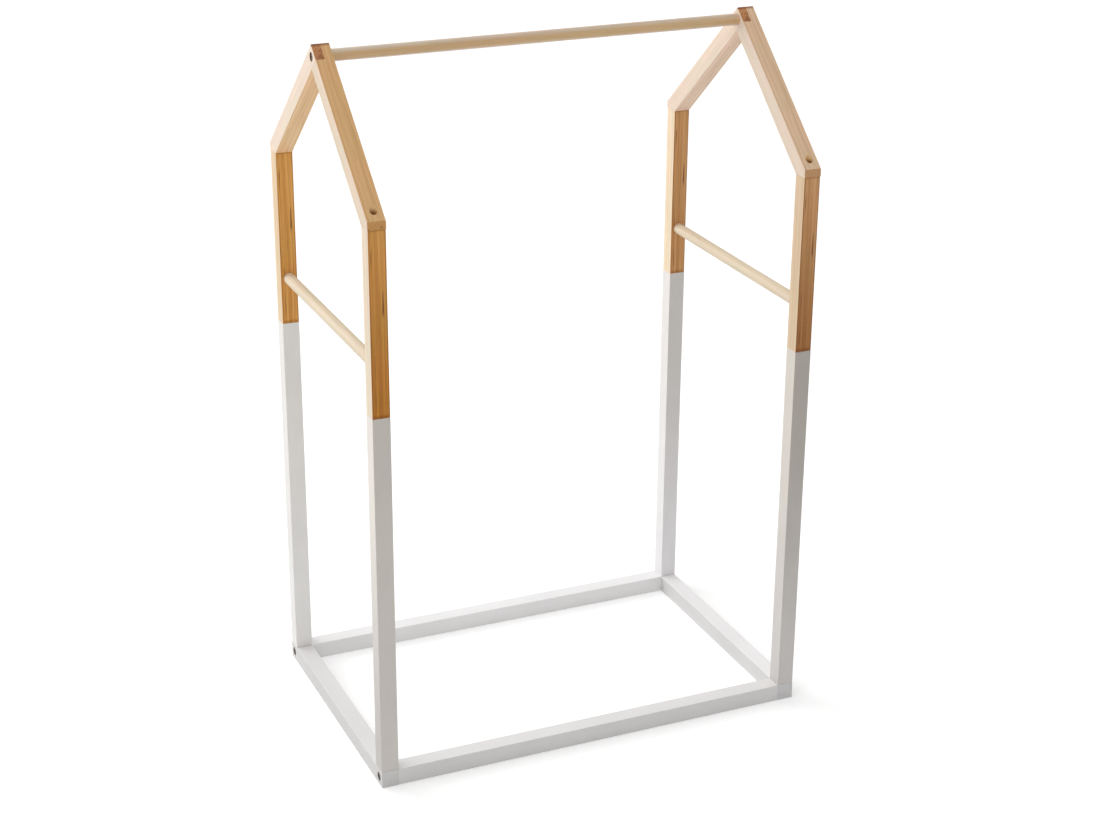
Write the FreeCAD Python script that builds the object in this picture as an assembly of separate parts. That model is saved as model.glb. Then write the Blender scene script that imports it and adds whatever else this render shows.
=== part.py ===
import FreeCAD, Part
import math
import os

# House-shaped open frame wardrobe: two gable frames of square sticks, two base rails and a round ridge rail.
# Frame: origin on the floor at the centre, X from gable to gable, Y from front to rear, Z up.
# The right gable is the left one turned half round about Z, so only the left half is drawn out.

# Overall sizes, in millimetres and degrees
frame_width = 780.0           # outer face to outer face of the gables
frame_depth = 500.0           # front face to rear face of the posts
post_length = 940.0           # posts, from the side rails up to the rafter seats
roof_pitch = 41.0             # slope of the rafters

# Timber
stick = 30.0                  # side of the square sticks
arris_radius = 1.0            # eased long edges of the sticks
rail_diameter = 20.0          # round ridge rail and cross dowels
rail_chamfer = 1.0            # at both ends of the round rails
cross_dowel_drop = 223.0      # cross dowel axis below the rafter seats
cross_socket_depth = 12.0     # blind socket in each post
ridge_socket_depth = 10.0     # blind socket in the inner half of each apex

# Connecting bolts, with a low round head and a hexagon socket
bolt_diameter = 6.0
bolt_head_diameter = 13.0
bolt_head_height = 3.5
bolt_head_bevel = 1.2
bolt_head_sink = 1.5          # head top below the face of the wood
bolt_socket_width = 4.0       # across the flats of the hexagon
bolt_socket_depth = 2.5
corner_bolt_grip = 36.0       # base rail end to the axis of the barrel nut
corner_bolt_spare = 9.0       # corner bolt past that axis
ridge_bolt_reach = 20.0       # ridge bolt inside the ridge rail

# Threaded pieces that the bolts draw up
nut_wall = 2.0                # barrel nut, beside the bolt
nut_length = 16.0
insert_wall = 1.5             # insert, round the bolt
insert_length = 16.0

# Wood screws, with a countersunk head and a point
screw_diameter = 5.0
screw_head_diameter = 9.5
screw_head_height = 2.8
screw_point_length = 6.0
screw_recess_diameter = 3.6
screw_recess_depth = 2.0
eave_floor = 12.0             # wood left between the rafter seat and the counterbore
eave_screw_bite = 48.0        # screw inside the post top
foot_counterbore_depth = 10.0
foot_screw_bite = 40.0        # screw inside the post foot

# Wooden pins
pin_diameter = 6.0
pin_chamfer = 0.8
pin_wall = 2.5                # wood left between a pin and the corner bolt
post_pin_reach = 13.0         # on each side of the joint
rail_pin_reach = 11.0

# Clearances
fit_clearance = 0.1           # radial, round pieces in their holes
head_clearance = 1.0          # radial, bolt heads in their counterbores
driver_clearance = 1.25       # radial, screw heads in their counterbores
end_room = 1.0                # empty end of a blind hole

# Values that follow from these
pitch = math.radians(roof_pitch)
half_stick = stick / 2
half_depth = frame_depth / 2
gable_x = -frame_width / 2 + half_stick
outer_x = gable_x - half_stick
inner_x = gable_x + half_stick
corner_y = half_depth - half_stick
seat_z = stick + post_length
plumb_height = stick / math.cos(pitch) - stick * math.tan(pitch)
eave_z = seat_z + plumb_height
ridge_z = eave_z + half_depth * math.tan(pitch)
apex_z = ridge_z - stick / math.cos(pitch)
ridge_rail_z = (ridge_z + apex_z) / 2
lap_y = stick / (2 * math.sin(pitch))
cross_dowel_z = seat_z - cross_dowel_drop
nut_diameter = bolt_diameter + 2 * nut_wall
insert_diameter = bolt_diameter + 2 * insert_wall
pin_offset = bolt_diameter / 2 + pin_wall + pin_diameter / 2
screw_counterbore_diameter = screw_head_diameter + 2 * driver_clearance
foot_screw_length = stick - foot_counterbore_depth + foot_screw_bite
eave_screw_length = eave_floor + eave_screw_bite
bolt_counterbore_depth = bolt_head_height + bolt_head_sink
corner_shank_length = stick - bolt_counterbore_depth + corner_bolt_grip + corner_bolt_spare
ridge_shank_length = stick - bolt_counterbore_depth - ridge_socket_depth + ridge_bolt_reach
overrun = stick               # how far a cutting tool runs past the face that it enters

# Post axes of the left gable along Y, and the way from each of them to the middle
CORNERS = {"front": -corner_y, "rear": corner_y}
INWARD = {"front": 1, "rear": -1}

AXIS_X = FreeCAD.Vector(1, 0, 0)
AXIS_Y = FreeCAD.Vector(0, 1, 0)
AXIS_Z = FreeCAD.Vector(0, 0, 1)
ORIGIN = FreeCAD.Vector(0, 0, 0)


def point(x, y, z):
    return FreeCAD.Vector(x, y, z)


def turned(shape):
    """A copy turned half round about the vertical axis: left to right, and front to rear."""
    copy = shape.copy()
    copy.rotate(ORIGIN, AXIS_Z, 180)
    return copy


def pair(shape):
    """The shape and its turned copy."""
    return [shape, turned(shape)]


def polygon_prism(points, start_x, end_x):
    """A prism along X on a closed outline of (y, z) points."""
    corners = [point(start_x, y, z) for y, z in points]
    face = Part.Face(Part.makePolygon(corners + corners[:1]))
    return face.extrude(point(end_x - start_x, 0, 0))


def stick_profile():
    """Square section with eased corners in the XY plane, centred on the origin."""
    flat = half_stick - arris_radius
    bend = arris_radius * math.sqrt(0.5)
    edges = []
    for quarter in range(4):
        turn = FreeCAD.Rotation(AXIS_Z, 90 * quarter)
        side_start = turn.multVec(point(half_stick, -flat, 0))
        side_end = turn.multVec(point(half_stick, flat, 0))
        middle = turn.multVec(point(flat + bend, flat + bend, 0))
        corner_end = turn.multVec(point(flat, half_stick, 0))
        edges.append(Part.LineSegment(side_start, side_end).toShape())
        edges.append(Part.Arc(side_end, middle, corner_end).toShape())
    return Part.Face(Part.Wire(edges))


def square_stick(start, direction, length):
    """A square stick with eased long edges, from the start point along a direction in the YZ or XZ plane."""
    face = stick_profile()
    face.Placement = FreeCAD.Placement(start, FreeCAD.Rotation(AXIS_Z, direction))
    return face.extrude(direction * length)


def bar(start, direction, diameter, length):
    return Part.makeCylinder(diameter / 2, length, start, direction)


def turned_piece(profile, start, direction):
    """A piece turned on a lathe: a (radius, height) outline spun about its axis and set along a direction."""
    corners = [point(radius, 0, height) for radius, height in profile]
    face = Part.Face(Part.makePolygon(corners + corners[:1]))
    solid = face.revolve(ORIGIN, AXIS_Z, 360)
    solid.Placement = FreeCAD.Placement(start, FreeCAD.Rotation(AXIS_Z, direction))
    return solid


def chamfered_rod(start, direction, diameter, length, chamfer):
    radius = diameter / 2
    profile = [
        (0, 0),
        (radius - chamfer, 0),
        (radius, chamfer),
        (radius, length - chamfer),
        (radius - chamfer, length),
        (0, length),
    ]
    return turned_piece(profile, start, direction)


def connecting_bolt(seat, direction, shank_length):
    """A bolt whose head bears on the seat point and whose shank runs along the direction."""
    head_radius = bolt_head_diameter / 2
    profile = [
        (0, -bolt_head_height),
        (head_radius - bolt_head_bevel, -bolt_head_height),
        (head_radius, bolt_head_bevel - bolt_head_height),
        (head_radius, 0),
        (bolt_diameter / 2, 0),
        (bolt_diameter / 2, shank_length),
        (0, shank_length),
    ]
    bolt = turned_piece(profile, seat, direction)
    corner = point(bolt_socket_width / math.sqrt(3), 0, -bolt_head_height)
    hexagon = [FreeCAD.Rotation(AXIS_Z, 60 * side).multVec(corner) for side in range(6)]
    socket = Part.Face(Part.makePolygon(hexagon + hexagon[:1])).extrude(AXIS_Z * bolt_socket_depth)
    socket.Placement = FreeCAD.Placement(seat, FreeCAD.Rotation(AXIS_Z, direction))
    return bolt.cut(socket)


def bolt_hole(seat, direction, shank_length):
    """Counterbore for the head, open towards the outside, and a clearance hole for the shank."""
    head_hole_length = bolt_counterbore_depth + overrun
    mouth = seat - direction * head_hole_length
    head_hole = bar(mouth, direction, bolt_head_diameter + 2 * head_clearance, head_hole_length)
    shank_hole = bar(seat, direction, bolt_diameter + 2 * fit_clearance, shank_length)
    return head_hole.fuse(shank_hole)


def wood_screw(seat, direction, length):
    """A screw whose flat head top lies at the seat point and whose point is its length further on."""
    radius = screw_diameter / 2
    profile = [
        (0, screw_recess_depth),
        (screw_recess_diameter / 2, 0),
        (screw_head_diameter / 2, 0),
        (radius, screw_head_height),
        (radius, length - screw_point_length),
        (0, length),
    ]
    return turned_piece(profile, seat, direction)


def screw_hole(seat, direction, length):
    """Countersink and shank hole of a wood screw, a clearance wider and longer than the screw itself."""
    radius = screw_diameter / 2 + fit_clearance
    profile = [
        (0, -fit_clearance),
        (screw_head_diameter / 2 + fit_clearance, -fit_clearance),
        (screw_head_diameter / 2 + fit_clearance, 0),
        (radius, screw_head_height),
        (radius, length - screw_point_length),
        (0, length + fit_clearance),
    ]
    return turned_piece(profile, seat, direction)


def pin_hole(middle, direction, reach):
    """Hole for a wooden pin that crosses a joint, a little longer than the pin at both ends."""
    half = reach + end_room
    return bar(middle - direction * half, direction, pin_diameter + 2 * fit_clearance, 2 * half)


def wooden_pin(middle, direction, reach):
    return chamfered_rod(middle - direction * reach, direction, pin_diameter, 2 * reach, pin_chamfer)


def corner_bolt_seat(end):
    return point(outer_x + bolt_counterbore_depth, CORNERS[end], half_stick)


def rail_pin_middle(end):
    return point(inner_x, CORNERS[end], half_stick + pin_offset)


def post_pin_middle(end):
    return point(gable_x, CORNERS[end] - INWARD[end] * pin_offset, stick)


def foot_screw_seat(end):
    return point(gable_x, CORNERS[end] + INWARD[end] * pin_offset, foot_counterbore_depth)


def eave_screw_seat(end):
    return point(gable_x, CORNERS[end], seat_z + eave_floor)


def ridge_bolt_seat():
    return point(outer_x + bolt_counterbore_depth, 0, ridge_rail_z)


def nut_middle(end):
    return point(inner_x + corner_bolt_grip, CORNERS[end], half_stick)


def side_rail():
    """Base rail under the left gable, drilled for its corner bolts, its post screws and all its pins."""
    wood = square_stick(point(gable_x, -half_depth, half_stick), AXIS_Y, frame_depth)
    holes = []
    for end in CORNERS:
        seat = foot_screw_seat(end)
        counterbore_start = point(seat.x, seat.y, -overrun)
        holes.append(bolt_hole(corner_bolt_seat(end), AXIS_X, corner_shank_length))
        holes.append(pin_hole(rail_pin_middle(end), AXIS_X, rail_pin_reach))
        holes.append(pin_hole(post_pin_middle(end), AXIS_Z, post_pin_reach))
        holes.append(bar(counterbore_start, AXIS_Z, screw_counterbore_diameter, seat.z + overrun))
        holes.append(screw_hole(seat, AXIS_Z, foot_screw_length))
    return wood.cut(holes)


def front_rail():
    """Base rail between the side rails, with a bolt hole, a barrel nut hole and a pin hole at each end."""
    wood = square_stick(point(inner_x, -corner_y, half_stick), AXIS_X, frame_width - 2 * stick)
    nut = nut_middle("front")
    nut_hole_start = point(nut.x, nut.y, -overrun)
    nut_hole_height = half_stick + nut_length / 2 + overrun
    left_holes = [
        bolt_hole(corner_bolt_seat("front"), AXIS_X, corner_shank_length + end_room),
        bar(nut_hole_start, AXIS_Z, nut_diameter + 2 * fit_clearance, nut_hole_height),
        pin_hole(rail_pin_middle("front"), AXIS_X, rail_pin_reach),
    ]
    right_holes = []
    for hole in left_holes:
        right_holes.append(hole.mirror(ORIGIN, AXIS_X))
    return wood.cut(left_holes + right_holes)


def post(end):
    """Post of the left gable, socketed for the cross dowel and drilled for its screws and its pin."""
    wood = square_stick(point(gable_x, CORNERS[end], stick), AXIS_Z, post_length)
    inward = AXIS_Y * INWARD[end]
    socket_start = point(gable_x, CORNERS[end], cross_dowel_z) + inward * (half_stick - cross_socket_depth)
    holes = [
        bar(socket_start, inward, rail_diameter + 2 * fit_clearance, cross_socket_depth + overrun),
        pin_hole(post_pin_middle(end), AXIS_Z, post_pin_reach),
        screw_hole(foot_screw_seat(end), AXIS_Z, foot_screw_length),
        screw_hole(eave_screw_seat(end), -AXIS_Z, eave_screw_length),
    ]
    return wood.cut(holes)


def rafter_outlines():
    """Side outlines of the front rafter: the half that stops below the lap, and the half that crosses it.

    The foot has a level seat as deep as the post and a short plumb cut above it. At the ridge the short half
    ends on the line of the other rafter's underside, and the long half ends flush with its upper side.
    """
    seat_outer = (-half_depth, seat_z)
    seat_inner = (stick - half_depth, seat_z)
    eave = (-half_depth, eave_z)
    apex = (0, apex_z)
    ridge = (0, ridge_z)
    short_half = [seat_outer, seat_inner, apex, (-lap_y, ridge_rail_z), eave]
    long_half = [seat_outer, seat_inner, apex, (lap_y, ridge_rail_z), ridge, eave]
    return short_half, long_half


def front_rafter():
    """Front rafter of the left gable before drilling: its long half lies inward, its short half outward."""
    short_half, long_half = rafter_outlines()
    outline = polygon_prism(short_half, outer_x, gable_x).fuse(polygon_prism(long_half, gable_x, inner_x))
    slope = point(0, math.cos(pitch), math.sin(pitch))
    foot = point(gable_x, -half_depth, eave_z - half_stick / math.cos(pitch))
    run = (half_depth + lap_y) / math.cos(pitch)
    timber = square_stick(foot - slope * stick, slope, run + 2 * stick)
    return timber.common(outline).removeSplitter()


def rear_rafter():
    """Rear rafter of the left gable before drilling: the front one turned half round in the gable."""
    rafter = front_rafter()
    rafter.rotate(point(gable_x, 0, 0), AXIS_Z, 180)
    return rafter


def drilled_rafter(rafter, end):
    """A left rafter with its eave screw hole and its share of the ridge bolt hole and ridge rail socket."""
    seat = eave_screw_seat(end)
    socket_start = point(inner_x - ridge_socket_depth, 0, ridge_rail_z)
    holes = [
        bar(seat, AXIS_Z, screw_counterbore_diameter, ridge_z - seat.z),
        screw_hole(seat, -AXIS_Z, eave_screw_length),
        bolt_hole(ridge_bolt_seat(), AXIS_X, ridge_shank_length),
        bar(socket_start, AXIS_X, rail_diameter + 2 * fit_clearance, ridge_socket_depth + overrun),
    ]
    return rafter.cut(holes)


def cross_dowel():
    """Round rail between the two posts of the left gable."""
    length = frame_depth - 2 * stick + 2 * cross_socket_depth
    start = point(gable_x, -length / 2, cross_dowel_z)
    return chamfered_rod(start, AXIS_Y, rail_diameter, length, rail_chamfer)


def ridge_rail():
    """Round hanging rail, bored at both ends for a threaded insert and the tip of the ridge bolt."""
    end_x = inner_x - ridge_socket_depth
    start = point(end_x, 0, ridge_rail_z)
    rail = chamfered_rod(start, AXIS_X, rail_diameter, -2 * end_x, rail_chamfer)
    insert_hole = bar(start, AXIS_X, insert_diameter + 2 * fit_clearance, insert_length)
    tip_hole = bar(start, AXIS_X, bolt_diameter + 2 * fit_clearance, ridge_bolt_reach + end_room)
    left_hole = insert_hole.fuse(tip_hole)
    return rail.cut(pair(left_hole))


def barrel_nut(end):
    """Cross nut in the end of a base rail, with a clear bore where the bolt's thread runs."""
    middle = nut_middle(end)
    nut = bar(middle - AXIS_Z * (nut_length / 2), AXIS_Z, nut_diameter, nut_length)
    bore = bar(middle - AXIS_X * nut_diameter, AXIS_X, bolt_diameter + 2 * fit_clearance, 2 * nut_diameter)
    return nut.cut(bore)


def ridge_insert():
    """Threaded sleeve in the left end of the ridge rail."""
    start = point(inner_x - ridge_socket_depth, 0, ridge_rail_z)
    sleeve = bar(start, AXIS_X, insert_diameter, insert_length)
    return sleeve.cut(bar(start, AXIS_X, bolt_diameter + 2 * fit_clearance, insert_length))


def at_all_corners(make):
    """A fastener at the front and rear of the left gable, and the same two of the right gable."""
    return Part.makeCompound(pair(make("front")) + pair(make("rear")))


def corner_bolt(end):
    return connecting_bolt(corner_bolt_seat(end), AXIS_X, corner_shank_length)


def rail_pin(end):
    return wooden_pin(rail_pin_middle(end), AXIS_X, rail_pin_reach)


def post_pin(end):
    return wooden_pin(post_pin_middle(end), AXIS_Z, post_pin_reach)


def post_screw(end):
    return wood_screw(foot_screw_seat(end), AXIS_Z, foot_screw_length)


def rafter_screw(end):
    return wood_screw(eave_screw_seat(end), -AXIS_Z, eave_screw_length)


def all_nodes():
    """Every piece of the wardrobe under its name."""
    nodes = {}
    nodes["left_side_rail"] = side_rail()
    nodes["left_front_post"] = post("front")
    nodes["left_rear_post"] = post("rear")
    nodes["left_front_rafter"] = drilled_rafter(front_rafter(), "front")
    nodes["left_rear_rafter"] = drilled_rafter(rear_rafter(), "rear")
    nodes["left_cross_dowel"] = cross_dowel()
    for name, opposite in (
        ("right_side_rail", "left_side_rail"),
        ("right_rear_post", "left_front_post"),
        ("right_front_post", "left_rear_post"),
        ("right_rear_rafter", "left_front_rafter"),
        ("right_front_rafter", "left_rear_rafter"),
        ("right_cross_dowel", "left_cross_dowel"),
    ):
        nodes[name] = turned(nodes[opposite])
    nodes["front_rail"] = front_rail()
    nodes["rear_rail"] = turned(nodes["front_rail"])
    nodes["ridge_rail"] = ridge_rail()
    ridge_bolt = connecting_bolt(ridge_bolt_seat(), AXIS_X, ridge_shank_length)
    nodes["ridge_bolts"] = Part.makeCompound(pair(ridge_bolt))
    nodes["ridge_inserts"] = Part.makeCompound(pair(ridge_insert()))
    nodes["corner_bolts"] = at_all_corners(corner_bolt)
    nodes["corner_barrel_nuts"] = at_all_corners(barrel_nut)
    nodes["rafter_screws"] = at_all_corners(rafter_screw)
    nodes["post_screws"] = at_all_corners(post_screw)
    nodes["post_pins"] = at_all_corners(post_pin)
    nodes["rail_pins"] = at_all_corners(rail_pin)
    return nodes


os.makedirs("parts", exist_ok=True)
for node_name, shape in all_nodes().items():
    shape.exportStep("parts/" + node_name + ".step")
    print(node_name, len(shape.Solids), "solids", round(shape.Volume), "mm3", "valid", shape.isValid())
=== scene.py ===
"""The looks of the open frame wardrobe: a house-shaped clothes rack of pine sticks, painted white below."""

import math
from collections import namedtuple
from functools import cached_property

import bpy
import numpy as np
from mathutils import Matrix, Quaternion, Vector


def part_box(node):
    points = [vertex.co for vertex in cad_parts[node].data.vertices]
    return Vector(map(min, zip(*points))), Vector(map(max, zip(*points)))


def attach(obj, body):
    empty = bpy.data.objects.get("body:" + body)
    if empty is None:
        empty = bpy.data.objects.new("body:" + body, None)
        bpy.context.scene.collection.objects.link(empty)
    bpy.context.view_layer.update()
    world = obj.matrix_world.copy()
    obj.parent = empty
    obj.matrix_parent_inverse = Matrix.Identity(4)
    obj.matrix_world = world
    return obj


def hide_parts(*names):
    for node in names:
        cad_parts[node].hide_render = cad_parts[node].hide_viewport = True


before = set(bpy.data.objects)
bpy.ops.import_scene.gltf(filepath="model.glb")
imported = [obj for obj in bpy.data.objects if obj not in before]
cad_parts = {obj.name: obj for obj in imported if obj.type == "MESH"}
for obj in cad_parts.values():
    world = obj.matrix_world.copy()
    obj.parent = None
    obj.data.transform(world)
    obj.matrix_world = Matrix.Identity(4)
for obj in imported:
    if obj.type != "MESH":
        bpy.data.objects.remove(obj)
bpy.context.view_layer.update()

# Noise drawn out along a stick, a stick's wood, a coat of paint, a knot and a bored hole
Grain = namedtuple("Grain", "across lengthwise detail roughness")
PINE_TRAITS = "along heart middle honey_axis figure pale honey honey_low cut knots"
Pine = namedtuple("Pine", PINE_TRAITS, defaults=((),))
Paint = namedtuple("Paint", "foot line left_foot left_line front", defaults=(1.0,))
Knot = namedtuple("Knot", "place radius")
Bore = namedtuple("Bore", "through axis radius tone")


def srgb(red, green, blue):
    """A colour given as 0 to 255 display values, as the linear values that a shader takes."""
    display = np.array((red, green, blue), float) / 255
    linear = np.where(display <= 0.04045, display / 12.92, ((display + 0.055) / 1.055) ** 2.4)
    return (*linear.tolist(), 1.0)


def even_tones(pale, honey):
    """The wood tones of a piece whose honey coloured faces are alike from end to end."""
    return pale, honey, honey


def even_paint(tone, left=1.0, front=1.0):
    """The paint of a piece that has one tone at every height."""
    return Paint(tone, tone, left, left, front)


# Directions: left to right, front to rear and up
SIDEWISE = np.array((1.0, 0.0, 0.0))
DEPTHWISE = np.array((0.0, 1.0, 0.0))
UP = np.array((0.0, 0.0, 1.0))

# Names of the pieces, as the construction gives them, and the direction in which the pins lie
POSTS = ("left_front_post", "left_rear_post", "right_front_post", "right_rear_post")
FRONT_RAFTERS = ("left_front_rafter", "right_front_rafter")
REAR_RAFTERS = ("left_rear_rafter", "right_rear_rafter")
SIDE_RAILS = ("left_side_rail", "right_side_rail")
LONG_RAILS = ("front_rail", "rear_rail")
CROSS_DOWELS = ("left_cross_dowel", "right_cross_dowel")
RIDGE_RAIL = "ridge_rail"
STEEL_PIECES = (
    "corner_bolts", "ridge_bolts", "corner_barrel_nuts", "ridge_inserts", "rafter_screws", "post_screws",
)
WOODEN_PINS = {"post_pins": UP, "rail_pins": SIDEWISE}

# Shape of the posts and round rails, in metres and radians
STATION_STEP = 0.012              # between the rings of points along a piece
STATION_DIGITS = 7                # decimals past which two stations are one
EASING_STEPS = 3                  # rings in each eased end
SHARP_ANGLE = math.radians(40)    # edges past this stay sharp when shaded
POST_EASING = 0.0007              # eased ends of the posts
ARRIS_RADIUS = 0.0010             # round long edges of the posts
ARRIS_WANDER = 0.0003             # by which the plane varied them
ARRIS_WAVE = 11.0                 # radians of that wander per metre
ARRIS_STEPS = 5                   # points round each arris
ARRIS_FROM = 0.9                  # share of the half width past which a point belongs to an arris
FLAT_SUPPORTS = np.array((-1.0, -0.94, -0.86, -0.5, 0.0, 0.5, 0.86, 0.94, 1.0))
ROD_EASING = 0.0012               # eased ends of the round rails
ROD_STEPS = 48                    # points round a round rail
FLUTES = 9                        # marks of the rounding cutters round a rail
FLUTE_DEPTH = 0.00006             # half the depth of such a mark
FLUTE_TWIST = 14.0                # radians per metre

# Paint line on each post, in metres above the floor: masked by hand, so no two are quite alike
PAINT_LINE = {
    "left_front_post": 0.664,
    "left_rear_post": 0.665,
    "right_front_post": 0.667,
    "right_rear_post": 0.660,
}
PAINT_FILM = 0.00022              # thickness of the paint
PAINT_STEP = 0.0006               # height over which it ends at the line
PAINT_LIP = 0.00012               # small ridge that the tape left
LIP_DROP = 0.0009                 # from the line down to that ridge
LIP_WIDTH = 0.0005
PAINT_BLEED = 0.0005              # wander of the line round a post
BLEED_REACH = 0.012               # height over which the wander dies out
BLEED_WAVES = ((3, 0.6, 1.0), (7, 0.4, 2.3))    # waves round a post, their share, times its phase
POST_PHASE = np.array((40.0, 70.0))             # radians per metre of its place, so that no two are alike
LINE_RINGS = 26                   # rings of points close to the line
LINE_REACH = 0.003                # and how far they go on each side of it

# Finishes in general: cosines between which a face counts as turned to a direction, and bump
FACE_TURN = (0.35, 0.85)
RELIEF_STRENGTH = 0.35

# Pine: growth rings about a heart that lies outside the stick
RING_WIDTH = 0.0044
RING_TONES = ((0.0, 0.08), (1.0, 0.08), (0.40, 0.14), (0.78, 0.70), (0.92, 1.0))    # ends, then between
RING_SHARES = (0.10, 0.40)        # on the pale and on the honey coloured faces
RING_SWAY = 0.016
SWAY_GRAIN = Grain(14.0, 1.6, 1.0, 0.5)
TRUNK_TAPER = 0.003
HEART_ASIDE = 0.05                # from a square stick's middle, sideways
HEART_BEHIND = 0.06               # and square to its honey coloured faces
DOWEL_HEART = (0.05, 0.0, 0.05)
RIDGE_HEART = (0.0, -0.05, 0.05)
PIN_HEART = (0.0, 0.05, 0.0)
LATE_WOOD = srgb(176, 106, 46)

# Pine: streaks, fibres, resin ducts and a slow drift of tone, with the limits between which each shows
STREAK_GRAIN = Grain(190.0, 2.2, 2.0, 0.55)
STREAK_LIMITS = (0.62, 0.34)
STREAK_SHARES = (0.4, 1.0)
STREAK_TINT = (0.80, 0.70, 0.56, 1.0)
FIBRE_GRAIN = Grain(620.0, 12.0, 3.0, 0.6)
FIBRE_LIMITS = (0.25, 0.75)
FIBRE_SHADE = (0.93, 1.05)
DUCT_GRAIN = Grain(420.0, 13.0, 0.0, 0.5)
DUCT_LIMITS = (0.70, 0.76)
DUCT_SHARES = (0.12, 0.85)
DUCT_WOOD = srgb(120, 66, 30)
DRIFT_GRAIN = Grain(26.0, 13.0, 1.0, 0.5)
DRIFT_LIMITS = (0.36, 0.64)
ROSY_TINT = (1.02, 0.99, 0.985, 1.0)
STRAW_TINT = (0.98, 0.995, 0.97, 1.0)
HONEY_REACH = 0.25                # from a stick's middle to where its end tones are full

# Pine: slanted cuts, end grain and knots
SLANT_TURN = (0.55, 0.72)
SLANT_RINGS = 0.4
SLANT_FIBRE_SHADE = (0.93, 1.07)
SLANT_COVER = 0.85
END_TURN = (0.86, 0.97)
END_RINGS = 0.45
END_BLOTCHES = (70.0, 2.0)        # noise: scale per metre, detail
END_LIMITS = (0.35, 0.65)
END_WOOD = srgb(156, 100, 60)
END_WOOD_PALE = srgb(198, 138, 86)
KNOT_EDGE = (650.0, 2.0)
KNOT_RAGGED = 0.0034
KNOT_CORE = 0.3                   # share of the radius that is full
KNOT_COVER = 0.85
KNOT_WOOD = srgb(150, 92, 40)

# Pine: planed surface, and the strength of the figure
WOOD_RELIEF = 0.00025
LATE_WOOD_RELIEF = 0.35
WOOD_GLOSS = 0.3
WOOD_LIMITS = (0.2, 1.6)
WOOD_ROUGHNESS = (0.56, 0.44)
POST_FIGURE = 1.0
RAFTER_FIGURE = 0.45
ROD_FIGURE = 0.4

# Marks: dark lines at the ridge and at the top of a post, the tape's stain, a post's darker arrises,
# and painted light on the rear faces of a post
RIDGE_LINE = (0.0045, 0.0005)     # below the ridge
SEAT_LINE = (0.0030, 0.0008)      # below the top of a post
JOINT_COVER = 0.8
STAIN_REACH = (0.0024, 0.008)     # above the paint line
ARRIS_TINT = (0.70, 0.58, 0.44, 1.0)
REAR_PAINTED_LIGHT = 0.35                  # share of the pale tone on the rear of a post, as painted light

# Bored holes: radii just past those of the construction, and tones: painted shade inside the holes,
# over their bare wood or paint, and painted light on a screw hole's wall near its mouth
BOLT_BORE = 0.0076
BOLT_BORE_WOOD_SHADE = srgb(128, 88, 56)
BOLT_BORE_PAINT_SHADE = srgb(132, 128, 124)
SCREW_BORE = 0.0061
SCREW_BORE_LIT_WOOD = srgb(248, 206, 150)
SCREW_BORE_DEEP_SHADE = srgb(176, 124, 72)
BORE_PALE_ABOVE = 0.00105         # above a screw hole's mouth: its wall is painted pale, as lit, from here up
BORE_DEEP_BELOW = 0.00805         # below the mouth: its wall is painted dark, as shade, from here down
ROOF_PITCH = math.radians(41)     # slope of the roof, for the height of that mouth

# Paint: brush marks, clouds and orange peel
BRUSH_GRAIN = Grain(700.0, 15.0, 3.0, 0.55)
BRUSH_LIMITS = (0.3, 0.7)
BRUSH_RELIEF = 0.6
PAINT_ROUGHNESS = (0.36, 0.46)
PAINT_CLOUDS = (9.0, 3.0, 0.55)   # noise: scale per metre, detail, roughness
CLOUD_LIMITS = (0.35, 0.70)
CLOUD_SHADE = (1.02, 0.98)
CLOUD_RISE = 0.12
PAINT_PEEL = (420.0, 1.0)
PEEL_RELIEF = 0.4
PAINT_RELIEF = 0.0002
FOOT_TONE_HEIGHT = 0.06
LINE_TONE_HEIGHT = 0.66
PLAIN_WHITE = srgb(228, 226, 223)

# Zinc plated steel
STEEL_DARK = srgb(96, 90, 84)
STEEL_LIGHT = srgb(140, 135, 128)
STEEL_BLOTCHES = (300.0, 3.0, 0.6)
STEEL_SCRATCHES = (400.0, 4000.0, 900.0)
SCRATCH_NOISE = (1.0, 2.0)
STEEL_LIMITS = (0.7, 1.3)
STEEL_ROUGHNESS = (0.34, 0.5)
STEEL_RELIEF = 0.00005
STEEL_METAL = 0.9

# Wood tones of each piece: pale faces, honey coloured faces at the upper end and at the lower end.
# Pale and honey are lit and shaded copies of one pine, painted light and painted shade, and each
# piece's tones also carry the light that falls on that piece
POST_TONES = {
    "left_front_post": (srgb(231, 216, 195), srgb(231, 174, 94), srgb(194, 129, 29)),
    "left_rear_post": (srgb(225, 201, 166), srgb(241, 183, 100), srgb(235, 175, 90)),
    "right_front_post": (srgb(217, 193, 163), srgb(222, 176, 125), srgb(159, 107, 48)),
    "right_rear_post": (srgb(240, 220, 192), srgb(220, 171, 115), srgb(214, 163, 107)),
}
RAFTER_TONES = {
    "left_front_rafter": even_tones(srgb(222, 204, 183), srgb(222, 180, 127)),
    "left_rear_rafter": even_tones(srgb(230, 213, 195), srgb(238, 202, 157)),
    "right_front_rafter": even_tones(srgb(222, 204, 187), srgb(227, 196, 164)),
    "right_rear_rafter": even_tones(srgb(228, 210, 192), srgb(236, 210, 190)),
}
DOWEL_TONES = even_tones(srgb(217, 203, 179), srgb(217, 203, 179))
# The ridge rail's top and underside take the greyer second tone: a painted sheen on its top
RIDGE_TONES = even_tones(srgb(217, 184, 141), srgb(213, 196, 178))
LEFT_CUT = srgb(206, 150, 80)
RIGHT_CUT = srgb(198, 148, 96)
ROD_CUT = srgb(205, 165, 115)

# Knots, placed from the lowest corner of a rafter's box
RAFTER_KNOTS = {
    "left_front_rafter": (Knot((0.0225, 0.0, 0.0038), 0.0050), Knot((0.0020, 0.0, 0.0015), 0.0042)),
}

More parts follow.
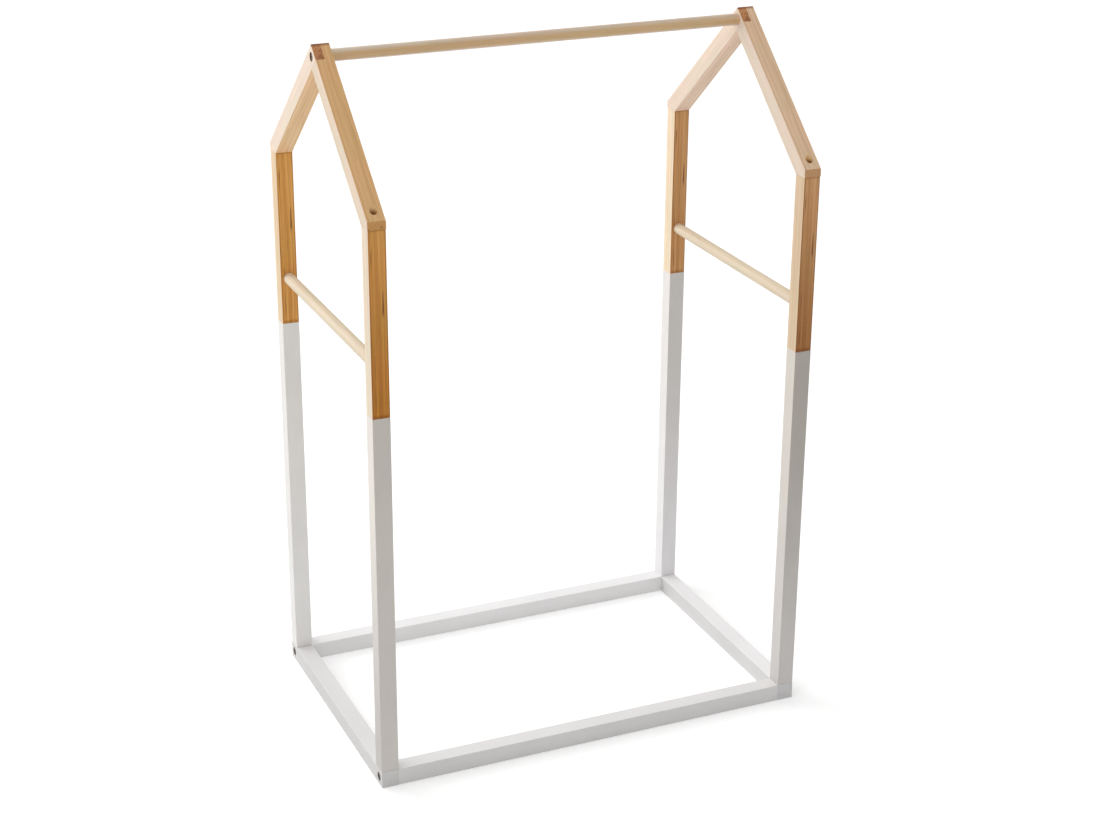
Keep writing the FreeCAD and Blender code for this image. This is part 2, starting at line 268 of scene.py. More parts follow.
# Paint of the posts: tones at the foot and at the line, and shares of them on the left face at both heights.
# All are painted light and shade on the white paint, for how the light falls on each post, face and height
POST_PAINT = {
    "left_front_post": Paint(srgb(214, 209, 204), srgb(209, 203, 195), 0.69, 1.15),
    "left_rear_post": Paint(srgb(241, 239, 237), srgb(236, 233, 228), 0.82, 0.86),
    "right_front_post": Paint(srgb(210, 206, 203), srgb(183, 177, 169), 0.91, 1.37),
    "right_rear_post": Paint(srgb(239, 237, 238), srgb(211, 207, 203), 0.92, 1.17),
}
# Paint of the rails: the tone, and the shares of it on the left and front faces, which are painted
# shade and light on those faces and from rail to rail
RAIL_PAINT = {
    "left_side_rail": even_paint(srgb(217, 215, 214), 0.78, 0.96),
    "right_side_rail": even_paint(srgb(233, 231, 231), 0.77, 0.80),
    "front_rail": even_paint(srgb(225, 223, 222)),
    "rear_rail": even_paint(srgb(234, 233, 233), 1.0, 1.09),
}

# Light: a wide soft lamp from the left rear and above, a fill from the right, a window at the left rear,
# an even room and a white floor that is lifted a little where it is seen
LAMP_DIRECTION = Vector((0.46, -0.22, -0.86))
LAMP_STRENGTH = 2.05
LAMP_ANGLE = math.radians(100)
FILL_DIRECTION = Vector((-1.0, 0.0, -0.05))
FILL_STRENGTH = 0.85
FILL_ANGLE = math.radians(60)
WINDOW_PLACE = Vector((-1.8, 2.2, 1.7))
WINDOW_AIM = Vector((0.0, 0.0, 0.6))
WINDOW_SIZE = 1.6
WINDOW_POWER = 24.0
ROOM_LIGHT = 0.33
ROOM_SEEN = 1.0
FLOOR_SPAN = 80.0
FLOOR_WHITE = 0.92
FLOOR_LIFT = 0.19

# Camera, fitted to the photograph's frame of 1100 by 824 pixels
CAMERA_PLACE = Vector((-1.3797, -3.1834, 1.9440))
CAMERA_AIM = Vector((0.0206, 0.0, 0.5186))
CAMERA_ROLL = math.radians(0.397)
CAMERA_LENS = 70.5
CAMERA_SENSOR = 36.0


def box_of(node):
    """Lowest and highest corner of a construction node, as arrays."""
    low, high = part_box(node)
    return np.array(low), np.array(high)


def middle_of(node):
    """Middle of a construction node's box."""
    low, high = box_of(node)
    return (low + high) / 2


# Surfaces


def square_profile():
    """Two profiles A and B, so that (half - radius) * A + radius * B is a square with round arrises.

    A runs along each side and waits at the corner, while B points out of the side and then turns through
    a quarter circle. Support points close to each corner keep the flats flat when shaded. The third array
    is 1 at the arrises and 0 along the flats."""
    turn = np.linspace(0, math.pi / 2, ARRIS_STEPS + 2)[1:-1]
    flat_a = np.stack((np.ones_like(FLAT_SUPPORTS), FLAT_SUPPORTS), axis=1)
    flat_b = np.stack((np.ones_like(FLAT_SUPPORTS), np.zeros_like(FLAT_SUPPORTS)), axis=1)
    round_a = np.ones((ARRIS_STEPS, 2))
    round_b = np.stack((np.cos(turn), np.sin(turn)), axis=1)
    side_a = np.concatenate((flat_a, round_a))
    side_b = np.concatenate((flat_b, round_b))
    quarter = np.array(((0, 1), (-1, 0)))
    turned = [np.linalg.matrix_power(quarter, k) for k in range(4)]
    at_arris = np.tile((np.abs(side_a) > ARRIS_FROM).all(axis=1).astype(float), len(turned))
    profile_a = np.concatenate([side_a @ turn_back for turn_back in turned])
    profile_b = np.concatenate([side_b @ turn_back for turn_back in turned])
    return profile_a, profile_b, at_arris


def smooth_step(value):
    """0 below 0, 1 above 1, and the cubic 3t^2 - 2t^3 between them."""
    t = np.clip(value, 0, 1)
    return t * t * (3 - 2 * t)


def eased_stations(length, ease, line=None):
    """Distances along a piece: even ones, a quarter circle's at each end, and close ones about a line."""
    even = np.linspace(ease, length - ease, max(2, int(length / STATION_STEP)))
    turn = np.linspace(0, math.pi / 2, EASING_STEPS, endpoint=False)
    start = ease * (1 - np.cos(turn))
    found = np.concatenate((start, even, length - start))
    if line is not None:
        found = np.concatenate((found, line + np.linspace(-LINE_REACH, LINE_REACH, LINE_RINGS)))
    return np.unique(found.round(STATION_DIGITS))


def end_inset(distance, length, ease):
    """How far a ring draws in near an end, so that the edge follows a quarter circle of radius ease."""
    to_end = np.minimum(distance, length - distance)
    short = np.clip(ease - to_end, 0, ease)
    return ease - np.sqrt(ease**2 - short**2)


def skin(name, rings, **marks):
    """A closed surface: quads join each ring of points to the next, and a fan closes each end.

    Each mark is a value at every point of the rings, which the mesh keeps under the mark's name."""
    rows, around = rings.shape[:2]
    index = np.arange(rows * around).reshape(rows, around)
    ahead = np.roll(index, -1, axis=1)
    quads = np.stack((index[:-1], ahead[:-1], ahead[1:], index[1:]), axis=-1).reshape(-1, 4)
    first, last = rows * around, rows * around + 1
    front_fan = np.stack((ahead[0], index[0], np.full(around, first)), axis=-1)
    back_fan = np.stack((index[-1], ahead[-1], np.full(around, last)), axis=-1)
    points = np.concatenate((rings.reshape(-1, 3), rings[:1].mean(axis=1), rings[-1:].mean(axis=1)))
    mesh = bpy.data.meshes.new(name)
    mesh.from_pydata(points.tolist(), [], quads.tolist() + front_fan.tolist() + back_fan.tolist())
    for key, values in marks.items():
        ends = np.array((values[0].mean(), values[-1].mean()))
        attribute = mesh.attributes.new(key, "FLOAT", "POINT")
        attribute.data.foreach_set("value", np.concatenate((values.ravel(), ends)).astype(np.float32))
    mesh.shade_smooth()
    mesh.set_sharp_from_angle(angle=SHARP_ANGLE)
    piece = bpy.data.objects.new(name, mesh)
    bpy.context.scene.collection.objects.link(piece)
    return piece


def painted_post(node):
    """A post: a square with round arrises carried up the post, under a film of paint as far as its line.

    The half width falls by the film's thickness over a short smooth step at the line, after a small lip
    that the tape left. The line wanders by a sum of waves round the post, and the arrises' radius by a
    wave along it."""
    low, high = box_of(node)
    line = PAINT_LINE[node]
    length = high[2] - low[2]
    profile_a, profile_b, at_arris = square_profile()
    distance = eased_stations(length, POST_EASING, line - low[2])
    height = low[2] + distance
    lap = np.linspace(0, 2 * math.pi, len(at_arris), endpoint=False)
    phase = POST_PHASE @ low[:2]
    wander = [share * np.sin(waves * lap + times * phase) for waves, share, times in BLEED_WAVES]
    bleed = PAINT_BLEED * sum(wander)
    near_line = np.exp(-(((height - line) / BLEED_REACH) ** 2))
    rise = height[:, None] + near_line[:, None] * bleed
    below = smooth_step((line - height) / PAINT_STEP + 0.5)
    lip = PAINT_LIP * np.exp(-(((height - line + LIP_DROP) / LIP_WIDTH) ** 2))
    full = (high[0] - low[0]) / 2 - PAINT_LIP
    half = full - PAINT_FILM * (1 - below) + lip - end_inset(distance, length, POST_EASING)
    radius = ARRIS_RADIUS + ARRIS_WANDER * np.sin(ARRIS_WAVE * height + phase)
    flat = (half - radius)[:, None, None] * profile_a + radius[:, None, None] * profile_b
    middle = (low + high) / 2
    rings = np.concatenate((middle[:2] + flat, rise[:, :, None]), axis=2)
    paint = np.repeat(below[:, None], len(lap), axis=1)
    arris = np.repeat(at_arris[None, :], len(height), axis=0)
    return skin("dipped_" + node, rings, paint=paint, arris=arris)


def turned_rod(node):
    """A round rail: a circle carried along its axis, its radius shallowly fluted by the cutters."""
    low, high = box_of(node)
    axis = int(np.argmax(high - low))
    first, second = (axis + 1) % 3, (axis + 2) % 3
    length = high[axis] - low[axis]
    distance = eased_stations(length, ROD_EASING)
    lap = np.linspace(0, 2 * math.pi, ROD_STEPS, endpoint=False)
    flutes = FLUTE_DEPTH * (1 + np.sin(FLUTES * lap + FLUTE_TWIST * distance[:, None]))
    full = (high[first] - low[first]) / 2
    radius = full - end_inset(distance, length, ROD_EASING)[:, None] - flutes
    middle = (low + high) / 2
    rings = np.zeros((len(distance), ROD_STEPS, 3))
    rings[:, :, axis] = (low[axis] + distance)[:, None]
    rings[:, :, first] = middle[first] + radius * np.cos(lap)
    rings[:, :, second] = middle[second] + radius * np.sin(lap)
    return skin("turned_" + node, rings)


def seat(piece, material, slot, *nodes):
    """Gives a finished piece its material and its body, and hides the nodes that it stands for. The slot is
    not used.
    """
    piece.data.materials.append(material)
    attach(piece, "root")
    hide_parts(*nodes)


def dress(node, material):
    """A construction node keeps its own shape and takes a finish."""
    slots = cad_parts[node].data.materials
    slots.clear()
    slots.append(material)


# Finishes


class Graph:
    """The nodes of one material or of the world, with short calls for those that these finishes use."""

    def __init__(self, owner):
        owner.use_nodes = True
        self.owner = owner
        self.tree = owner.node_tree
        self.tree.nodes.clear()

    def add(self, kind, inputs, **settings):
        """A node with those settings, whose inputs are linked to sockets or set to values."""
        node = self.tree.nodes.new(kind)
        for key, value in settings.items():
            setattr(node, key, value)
        for key, value in inputs.items():
            if isinstance(value, bpy.types.NodeSocket):
                self.tree.links.new(value, node.inputs[key])
            else:
                node.inputs[key].default_value = value
        return node

    def show(self, shader, output="ShaderNodeOutputMaterial"):
        """Links a shader to the output, and gives back the material or the world."""
        self.add(output, {"Surface": shader.outputs[0]})
        return self.owner

    @cached_property
    def place(self):
        """The point of the surface, in metres in the construction's frame."""
        return self.add("ShaderNodeTexCoord", {}).outputs["Object"]

    @cached_property
    def height(self):
        """Its height above the floor."""
        return self.add("ShaderNodeSeparateXYZ", {0: self.place}).outputs["Z"]

    @cached_property
    def normal(self):
        """The direction that the surface faces there."""
        return self.add("ShaderNodeNewGeometry", {}).outputs["Normal"]

    def mark(self, name):
        """A value that the piece's own mesh keeps at every point."""
        return self.add("ShaderNodeAttribute", {}, attribute_name=name).outputs["Fac"]

    def math(self, operation, a, b=0.0, c=0.0):
        """A number worked out from up to three others."""
        return self.add("ShaderNodeMath", {0: a, 1: b, 2: c}, operation=operation).outputs[0]

    def times(self, a, b):
        """The product of two numbers."""
        return self.math("MULTIPLY", a, b)

    def vector(self, operation, a, b):
        """A vector worked out from two others."""
        return self.add("ShaderNodeVectorMath", {0: a, 1: b}, operation=operation).outputs["Vector"]

    def scale(self, a, factor):
        """A vector times a number."""
        inputs = {0: a, "Scale": factor}
        return self.add("ShaderNodeVectorMath", inputs, operation="SCALE").outputs["Vector"]

    def dot(self, a, b):
        """How far one vector reaches along another."""
        return self.add("ShaderNodeVectorMath", {0: a, 1: b}, operation="DOT_PRODUCT").outputs["Value"]

    def length(self, a):
        """The length of a vector."""
        return self.add("ShaderNodeVectorMath", {0: a}, operation="LENGTH").outputs["Value"]

    def aside(self, place, axis):
        """A place less its part along an axis, which leaves the way out from the axis."""
        return self.vector("SUBTRACT", place, self.scale(axis, self.dot(place, axis)))

    def noise(self, place, scale, detail, roughness=0.5):
        """Noise of that scale per metre."""
        inputs = {"Vector": place, "Scale": scale, "Detail": detail, "Roughness": roughness}
        return self.add("ShaderNodeTexNoise", inputs).outputs["Fac"]

    def drawn_noise(self, place, along, grain):
        """Noise with one scale across a stick and another along it, which the place is scaled by."""
        shorter = self.times(self.dot(place, along), grain.lengthwise - grain.across)
        drawn_out = self.vector("ADD", self.scale(place, grain.across), self.scale(along, shorter))
        return self.noise(drawn_out, 1.0, grain.detail, grain.roughness)

    def spread(self, value, low, high, to_low=0.0, to_high=1.0):
        """Carries a value from one range to another along a smooth step, held at both ends."""
        inputs = {"Value": value, "From Min": low, "From Max": high, "To Min": to_low, "To Max": to_high}
        return self.add("ShaderNodeMapRange", inputs, interpolation_type="SMOOTHSTEP").outputs[0]

    def facing(self, direction):
        """1 on the faces that look in a direction, and 0 on those beside them."""
        return self.spread(self.dot(self.normal, direction), *FACE_TURN)

    def across(self, axis, turn=FACE_TURN):
        """1 on the faces that look along an axis, either way, and 0 on those beside them."""
        return self.spread(self.math("ABSOLUTE", self.dot(self.normal, axis)), *turn)

    def blend(self, factor, a, b, way="MIX"):
        """A colour between two others, or the first one changed by the second in another way."""
        inputs = {0: factor, 6: a, 7: b}
        return self.add("ShaderNodeMix", inputs, data_type="RGBA", blend_type=way).outputs[2]

    def shaded(self, colour, share):
        """A colour times a number."""
        grey = self.add("ShaderNodeCombineColor", {0: share, 1: share, 2: share}).outputs[0]
        return self.blend(1.0, colour, grey, "MULTIPLY")

    def between(self, factor, a, b):
        """A number between two others."""
        return self.add("ShaderNodeMix", {0: factor, 2: a, 3: b}, data_type="FLOAT").outputs[0]

    def ramp(self, value, stops):
        """A grey ramp through stops of (place, tone): the two ends first, then those between them."""
        node = self.add("ShaderNodeValToRGB", {0: value})
        elements = node.color_ramp.elements
        for k, (place, tone) in enumerate(stops):
            element = elements[k] if k < 2 else elements.new(place)
            element.position = place
            element.color = (tone, tone, tone, 1.0)
        return node.outputs[0]

    def relief(self, height, depth):
        """The normal of a surface with a height pattern that is that many metres deep."""
        inputs = {"Height": height, "Strength": RELIEF_STRENGTH, "Distance": depth}
        return self.add("ShaderNodeBump", inputs).outputs[0]

    def seen(self):
        """1 for rays that are seen (straight, mirrored or through glass) and 0 for rays that carry light."""
        rays = self.add("ShaderNodeLightPath", {}).outputs
        unbroken = self.math("MAXIMUM", rays["Is Camera Ray"], rays["Is Glossy Ray"])
        return self.math("MAXIMUM", unbroken, rays["Is Transmission Ray"])


def growth_rings(graph, pine, place):
    """How late the wood is, from 0 to 1, in rings about the tree's heart.

    The distance from the heart's line, with a slow sway and the trunk's taper added, is divided by the
    width of a ring. What is left after the whole rings goes through a ramp that rises slowly and ends at
    once."""
    from_heart = graph.length(graph.vector("SUBTRACT", graph.aside(place, pine.along), pine.heart))
    taper = graph.times(graph.dot(place, pine.along), TRUNK_TAPER)
    lean = graph.math("MULTIPLY_ADD", graph.drawn_noise(place, pine.along, SWAY_GRAIN), RING_SWAY, taper)
    ring = graph.math("FRACT", graph.math("DIVIDE", graph.math("ADD", from_heart, lean), RING_WIDTH))
    return graph.ramp(ring, RING_TONES)


def long_faces(graph, pine, place, latewood, fibre):
    """The colour of the long faces: pale or honey coloured wood with rings, streaks, fibres and ducts."""
    honey_face = graph.across(pine.honey_axis)

    def on_faces(shares, strength):
        """A share of the figure on the pale faces and another on the honey coloured ones."""
        on_pale, on_honey = shares
        return graph.spread(honey_face, 0.0, 1.0, on_pale * strength, on_honey * strength)

    along_stick = graph.spread(graph.dot(place, pine.along), -HONEY_REACH, HONEY_REACH)
    # Painted light and shade: the pale tone on the faces beside the honey axis and the honey tone on those
    # across it are lit and shaded copies of one pine
    colour = graph.blend(honey_face, pine.pale, graph.blend(along_stick, pine.honey_low, pine.honey))
    drift = graph.spread(graph.drawn_noise(place, pine.along, DRIFT_GRAIN), *DRIFT_LIMITS)
    colour = graph.blend(1.0, colour, graph.blend(drift, ROSY_TINT, STRAW_TINT), "MULTIPLY")
    colour = graph.blend(graph.times(latewood, on_faces(RING_SHARES, pine.figure)), colour, LATE_WOOD)
    streak = graph.spread(graph.drawn_noise(place, pine.along, STREAK_GRAIN), *STREAK_LIMITS)
    streak = graph.times(streak, on_faces(STREAK_SHARES, pine.figure))
    colour = graph.blend(streak, colour, STREAK_TINT, "MULTIPLY")
    colour = graph.shaded(colour, graph.spread(fibre, *FIBRE_LIMITS, *FIBRE_SHADE))
    duct = graph.spread(graph.drawn_noise(place, pine.along, DUCT_GRAIN), *DUCT_LIMITS)
    return graph.blend(graph.times(duct, on_faces(DUCT_SHARES, pine.figure**2)), colour, DUCT_WOOD)


def cut_ends(graph, pine, place, latewood, fibre, colour):
    """Lays the tone of slanted cuts and of end grain over the faces that lie across the stick."""
    slant = graph.blend(graph.times(latewood, SLANT_RINGS), pine.cut, LATE_WOOD)
    slant = graph.shaded(slant, graph.spread(fibre, *FIBRE_LIMITS, *SLANT_FIBRE_SHADE))
    colour = graph.blend(graph.times(graph.across(pine.along, SLANT_TURN), SLANT_COVER), colour, slant)
    blotch = graph.spread(graph.noise(place, *END_BLOTCHES), *END_LIMITS)
    end = graph.blend(blotch, END_WOOD, END_WOOD_PALE)
    end = graph.blend(graph.times(latewood, END_RINGS), end, DUCT_WOOD)
    return graph.blend(graph.across(pine.along, END_TURN), colour, end)


def knotted(graph, pine, place, colour):
    """Lays dark knots with ragged edges over the wood, by the distance from the middle of each."""
    for knot in pine.knots:
        away = graph.length(graph.vector("SUBTRACT", place, knot.place - pine.middle))
        away = graph.math("MULTIPLY_ADD", graph.noise(place, *KNOT_EDGE), KNOT_RAGGED, away)
        dark = graph.spread(away, knot.radius, KNOT_CORE * knot.radius, 0.0, KNOT_COVER)
        colour = graph.blend(dark, colour, KNOT_WOOD)
    return colour


def pine_colours(graph, pine):
    """The colour, roughness and height of planed pine, worked out through the whole stick.

    Growth rings are cylinders about the tree's heart, which lies to one side of the stick, so the long
    faces show streaks and the ends show arcs. Streaks, fibres and resin ducts are noise drawn out along
    the stick. Faces across the honey axis are honey coloured, from one end's tone to the other's, and the
    faces beside them are pale. Figure is the strength of it all."""
    place = graph.vector("SUBTRACT", graph.place, pine.middle)
    latewood = growth_rings(graph, pine, place)
    fibre = graph.drawn_noise(place, pine.along, FIBRE_GRAIN)
    colour = long_faces(graph, pine, place, latewood, fibre)
    colour = cut_ends(graph, pine, place, latewood, fibre, colour)
    colour = knotted(graph, pine, place, colour)
    roughness = graph.spread(graph.math("ADD", latewood, fibre), *WOOD_LIMITS, *WOOD_ROUGHNESS)
    height = graph.math("MULTIPLY_ADD", latewood, LATE_WOOD_RELIEF, fibre)
    return colour, roughness, height


def paint_colours(graph, along, paint):
    """The colour, roughness and height of brushed satin paint: long shallow brush marks and faint clouding.

    The foot's tone goes over into the line's tone up the post. Faces to the left have a share of it that
    changes over the same heights, and those to the front a share of their own. Faces to the right and the
    rear are plain white."""
    brush = graph.drawn_noise(graph.place, along, BRUSH_GRAIN)
    cloud = graph.noise(graph.place, *PAINT_CLOUDS)
    peel = graph.noise(graph.place, *PAINT_PEEL)
    clouded_height = graph.math("MULTIPLY_ADD", cloud, CLOUD_RISE, graph.height)
    rise = graph.spread(clouded_height, FOOT_TONE_HEIGHT, LINE_TONE_HEIGHT)
    # Painted light and shade: the tones by height and the shares by face stand in for how the light falls,
    # and the right and rear faces keep the plain white
    left_share = graph.between(rise, paint.left_foot, paint.left_line)
    share = graph.between(graph.facing(-DEPTHWISE), 1.0, paint.front)
    share = graph.between(graph.facing(-SIDEWISE), share, left_share)
    colour = graph.shaded(graph.blend(rise, paint.foot, paint.line), share)
    colour = graph.blend(graph.facing(SIDEWISE + DEPTHWISE), colour, PLAIN_WHITE)
    colour = graph.shaded(colour, graph.spread(cloud, *CLOUD_LIMITS, *CLOUD_SHADE))
    roughness = graph.spread(brush, *BRUSH_LIMITS, *PAINT_ROUGHNESS)
    height = graph.math("MULTIPLY_ADD", brush, BRUSH_RELIEF, graph.times(peel, PEEL_RELIEF))
    return colour, roughness, height


def bored(graph, colour, bores):
    """Gives the walls and floors of bored holes their own tone, out to a radius from each hole's axis."""
    for bore in bores:
        from_point = graph.vector("SUBTRACT", graph.place, bore.through)
        from_axis = graph.length(graph.aside(from_point, bore.axis))
        # The hole's tone is painted shade inside it
        colour = graph.blend(graph.math("LESS_THAN", from_axis, bore.radius), colour, bore.tone)
    return colour


def planed(graph, colour, roughness, height):
    """Planed wood, which reflects less than plastic or lacquer does."""
    inputs = {"Base Color": colour, "Roughness": roughness, "Specular IOR Level": WOOD_GLOSS}
    inputs["Normal"] = graph.relief(height, WOOD_RELIEF)
    return graph.show(graph.add("ShaderNodeBsdfPrincipled", inputs))


def bare_pine(name, pine):
    """Bare pine, as turned rods and pins have it."""
    graph = Graph(bpy.data.materials.new(name))
    return planed(graph, *pine_colours(graph, pine))


def rafter_pine(name, ridge, mouth, eave, bolt, pine):
    """Bare pine with a dark line at the ridge, a bolt hole and a screw hole that is pale at its mouth."""
    graph = Graph(bpy.data.materials.new(name))
    colour, roughness, height = pine_colours(graph, pine)
    line_low, line_high = ridge - np.array(RIDGE_LINE)
    ridge_line = graph.spread(graph.height, line_low, line_high, 0.0, JOINT_COVER)
    colour = graph.blend(ridge_line, colour, DUCT_WOOD)
    # Painted light and shade in the screw hole: its wall is pale near the mouth and dark deeper down
    deep = graph.spread(graph.height, mouth + BORE_PALE_ABOVE, mouth - BORE_DEEP_BELOW)
    screw_wall_light_and_shade = graph.blend(deep, SCREW_BORE_LIT_WOOD, SCREW_BORE_DEEP_SHADE)
    screw_hole = Bore(eave, UP, SCREW_BORE, screw_wall_light_and_shade)
    bolt_hole = Bore(bolt, SIDEWISE, BOLT_BORE, BOLT_BORE_WOOD_SHADE)
    return planed(graph, bored(graph, colour, (screw_hole, bolt_hole)), roughness, height)


def dipped_pine(name, line, top, paint, pine):
    """Bare pine above the paint line and white paint below it, dark just above the line and at the top."""
    graph = Graph(bpy.data.materials.new(name))
    wood, wood_roughness, wood_height = pine_colours(graph, pine)
    coat, coat_roughness, coat_height = paint_colours(graph, pine.along, paint)
    stain_full, stain_end = line + np.array(STAIN_REACH)
    stain = graph.spread(graph.height, stain_full, stain_end, 1.0, 0.0)
    seat_low, seat_high = top - np.array(SEAT_LINE)
    seat_line = graph.spread(graph.height, seat_low, seat_high, 0.0, JOINT_COVER)
    marks = graph.math("MAXIMUM", graph.math("MAXIMUM", graph.mark("arris"), seat_line), stain)
    # Painted light: the rear faces of a post take a share of the pale tone
    wood = graph.blend(graph.times(graph.facing(DEPTHWISE), REAR_PAINTED_LIGHT), wood, pine.pale)
    wood = graph.blend(graph.times(marks, graph.across(pine.honey_axis)), wood, ARRIS_TINT, "MULTIPLY")
    painted = graph.mark("paint")
    colour = graph.blend(painted, wood, coat)
    roughness = graph.between(painted, wood_roughness, coat_roughness)
    return planed(graph, colour, roughness, graph.between(painted, wood_height, coat_height))


def white_paint(name, along, paint, bores=()):
    """White satin paint all over, with a darker tone in bored holes."""
    graph = Graph(bpy.data.materials.new(name))
    colour, roughness, height = paint_colours(graph, along, paint)
    normal = graph.relief(height, PAINT_RELIEF)
    inputs = {"Base Color": bored(graph, colour, bores), "Roughness": roughness, "Normal": normal}
    return graph.show(graph.add("ShaderNodeBsdfPrincipled", inputs))


def dull_steel(name):
    """Zinc plated steel, greyed by handling: dull blotches and fine scratches."""
    graph = Graph(bpy.data.materials.new(name))
    blotch = graph.noise(graph.place, *STEEL_BLOTCHES)
    scratch = graph.noise(graph.vector("MULTIPLY", graph.place, STEEL_SCRATCHES), *SCRATCH_NOISE)
    colour = graph.blend(blotch, STEEL_DARK, STEEL_LIGHT)
    roughness = graph.spread(graph.math("ADD", blotch, scratch), *STEEL_LIMITS, *STEEL_ROUGHNESS)
    normal = graph.relief(scratch, STEEL_RELIEF)
    inputs = {"Base Color": colour, "Metallic": STEEL_METAL, "Roughness": roughness, "Normal": normal}
    return graph.show(graph.add("ShaderNodeBsdfPrincipled", inputs))


# Pieces


def finish_posts():
    """The posts get new surfaces with a film of paint, and wood with its heart inwards and to the rear."""
    for post in POSTS:
        low, high = box_of(post)
        bare_middle = (low + high) / 2
        bare_middle[2] = (PAINT_LINE[post] + high[2]) / 2
        inward = -math.copysign(1.0, bare_middle[0])
        heart = inward * HEART_ASIDE * SIDEWISE + HEART_BEHIND * DEPTHWISE
        pine = Pine(UP, heart, bare_middle, DEPTHWISE, POST_FIGURE, *POST_TONES[post], LEFT_CUT)
        finish = dipped_pine("pine_" + post, PAINT_LINE[post], high[2], POST_PAINT[post], pine)
        seat(painted_post(post), finish, "dipped_pine", post)


def finish_rafters():
    """The rafters keep their shape. Their grain runs along the diagonal of their box."""
    bolt = middle_of(RIDGE_RAIL)
    for rafter in FRONT_RAFTERS + REAR_RAFTERS:
        low, high = box_of(rafter)
        eave = middle_of(rafter.replace("rafter", "post"))
        mouth = high[2] - abs(eave[1]) * math.tan(ROOF_PITCH)
        slope = math.atan2(high[2] - low[2], high[1] - low[1])
        inward = DEPTHWISE if rafter in FRONT_RAFTERS else -DEPTHWISE
        along = math.cos(slope) * inward + math.sin(slope) * UP
        outward = math.cos(slope) * UP - math.sin(slope) * inward
        heart = HEART_ASIDE * SIDEWISE - HEART_BEHIND * outward
        cut = LEFT_CUT if low[0] < 0 else RIGHT_CUT
        knots = [Knot(low + np.array(knot.place), knot.radius) for knot in RAFTER_KNOTS.get(rafter, ())]
        middle = (low + high) / 2
        pine = Pine(along, heart, middle, outward, RAFTER_FIGURE, *RAFTER_TONES[rafter], cut, knots)
        dress(rafter, rafter_pine("pine_" + rafter, high[2], mouth, eave, bolt, pine))


def finish_base():
    """The base rails keep their shape and are painted. The side rails have the holes of the bolts."""
    # The grey in the bolt holes is painted shade
    bolt_holes = [Bore(middle_of(rail), SIDEWISE, BOLT_BORE, BOLT_BORE_PAINT_SHADE) for rail in LONG_RAILS]
    for rail in SIDE_RAILS:
        dress(rail, white_paint("paint_" + rail, DEPTHWISE, RAIL_PAINT[rail], bolt_holes))
    for rail in LONG_RAILS:
        dress(rail, white_paint("paint_" + rail, SIDEWISE, RAIL_PAINT[rail]))


def finish_round_rail(rail, along, heart, tones):
    """A round rail gets a new fluted surface of bare pine."""
    pine = Pine(along, heart, middle_of(rail), UP, ROD_FIGURE, *tones, ROD_CUT)
    seat(turned_rod(rail), bare_pine("pine_" + rail, pine), "bare_pine", rail)


def finish_fasteners():
    """Bolts, nuts, inserts and screws are steel, and the pins are pine."""
    steel = dull_steel("dull_zinc_steel")
    for fastener in STEEL_PIECES:
        dress(fastener, steel)
    for pin, along in WOODEN_PINS.items():
        pine = Pine(along, PIN_HEART, np.zeros(3), DEPTHWISE, ROD_FIGURE, *DOWEL_TONES, ROD_CUT)
        dress(pin, bare_pine("pine_" + pin, pine))


# Floor, light and camera


def white_floor():
    """A wide white floor that takes the object's shadow."""
    half = FLOOR_SPAN / 2
    corners = [(-half, -half, 0), (half, -half, 0), (half, half, 0), (-half, half, 0)]
    mesh = bpy.data.meshes.new("floor")
    mesh.from_pydata(corners, [], [(0, 1, 2, 3)])
    floor = bpy.data.objects.new("floor", mesh)
    bpy.context.scene.collection.objects.link(floor)
    graph = Graph(bpy.data.materials.new("white_floor"))
    matt = graph.add("ShaderNodeBsdfDiffuse", {"Color": (FLOOR_WHITE, FLOOR_WHITE, FLOOR_WHITE, 1.0)})
    lift = graph.add("ShaderNodeEmission", {"Strength": graph.times(graph.seen(), FLOOR_LIFT)})
    both = graph.add("ShaderNodeAddShader", {0: matt.outputs[0], 1: lift.outputs[0]})
    mesh.materials.append(graph.show(both))


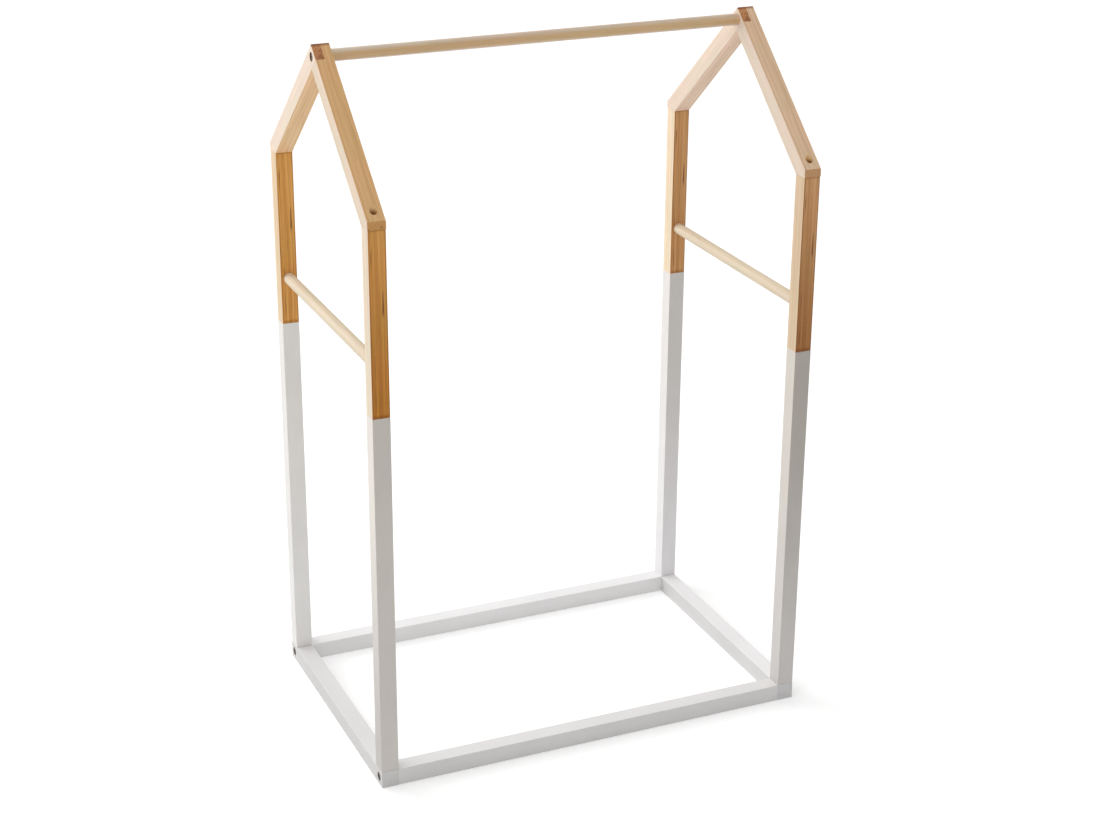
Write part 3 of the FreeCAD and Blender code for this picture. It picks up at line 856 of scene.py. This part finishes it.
def even_room():
    """An even white room, which is white where it is seen and weaker as a light."""
    graph = Graph(bpy.data.worlds.new("even_room"))
    limits = {"To Min": ROOM_LIGHT, "To Max": ROOM_SEEN}
    strength = graph.add("ShaderNodeMapRange", {"Value": graph.seen(), **limits}).outputs[0]
    background = graph.add("ShaderNodeBackground", {"Color": (1.0, 1.0, 1.0, 1.0), "Strength": strength})
    bpy.context.scene.world = graph.show(background, "ShaderNodeOutputWorld")


def aimed(name, data, place, direction):
    """A lamp or camera at a place, which looks in a direction."""
    made = bpy.data.objects.new(name, data)
    made.location = place
    made.rotation_mode = "QUATERNION"
    made.rotation_quaternion = direction.to_track_quat("-Z", "Y")
    bpy.context.scene.collection.objects.link(made)
    return made


def soft_lamp(name, direction, strength, angle):
    """A distant lamp, as wide in the sky as the angle."""
    data = bpy.data.lights.new(name, "SUN")
    data.energy = strength
    data.angle = angle
    aimed(name, data, Vector(), direction)


def window_light():
    """A square window beside the object."""
    data = bpy.data.lights.new("window", "AREA")
    data.size = WINDOW_SIZE
    data.energy = WINDOW_POWER
    aimed("window", data, WINDOW_PLACE, WINDOW_AIM - WINDOW_PLACE)


def photo_camera():
    """The camera at the photograph's viewing angle, rolled a little."""
    data = bpy.data.cameras.new("camera")
    data.sensor_fit = "HORIZONTAL"
    data.sensor_width = CAMERA_SENSOR
    data.lens = CAMERA_LENS
    camera = aimed("camera", data, CAMERA_PLACE, CAMERA_AIM - CAMERA_PLACE)
    camera.rotation_quaternion = camera.rotation_quaternion @ Quaternion((0, 0, 1), CAMERA_ROLL)
    bpy.context.scene.camera = camera


finish_posts()
finish_rafters()
finish_base()
for dowel in CROSS_DOWELS:
    finish_round_rail(dowel, DEPTHWISE, DOWEL_HEART, DOWEL_TONES)
finish_round_rail(RIDGE_RAIL, SIDEWISE, RIDGE_HEART, RIDGE_TONES)
finish_fasteners()

white_floor()
even_room()
soft_lamp("soft_lamp", LAMP_DIRECTION, LAMP_STRENGTH, LAMP_ANGLE)
soft_lamp("fill_lamp", FILL_DIRECTION, FILL_STRENGTH, FILL_ANGLE)
window_light()
photo_camera()
bpy.context.scene.view_settings.view_transform = "Standard"
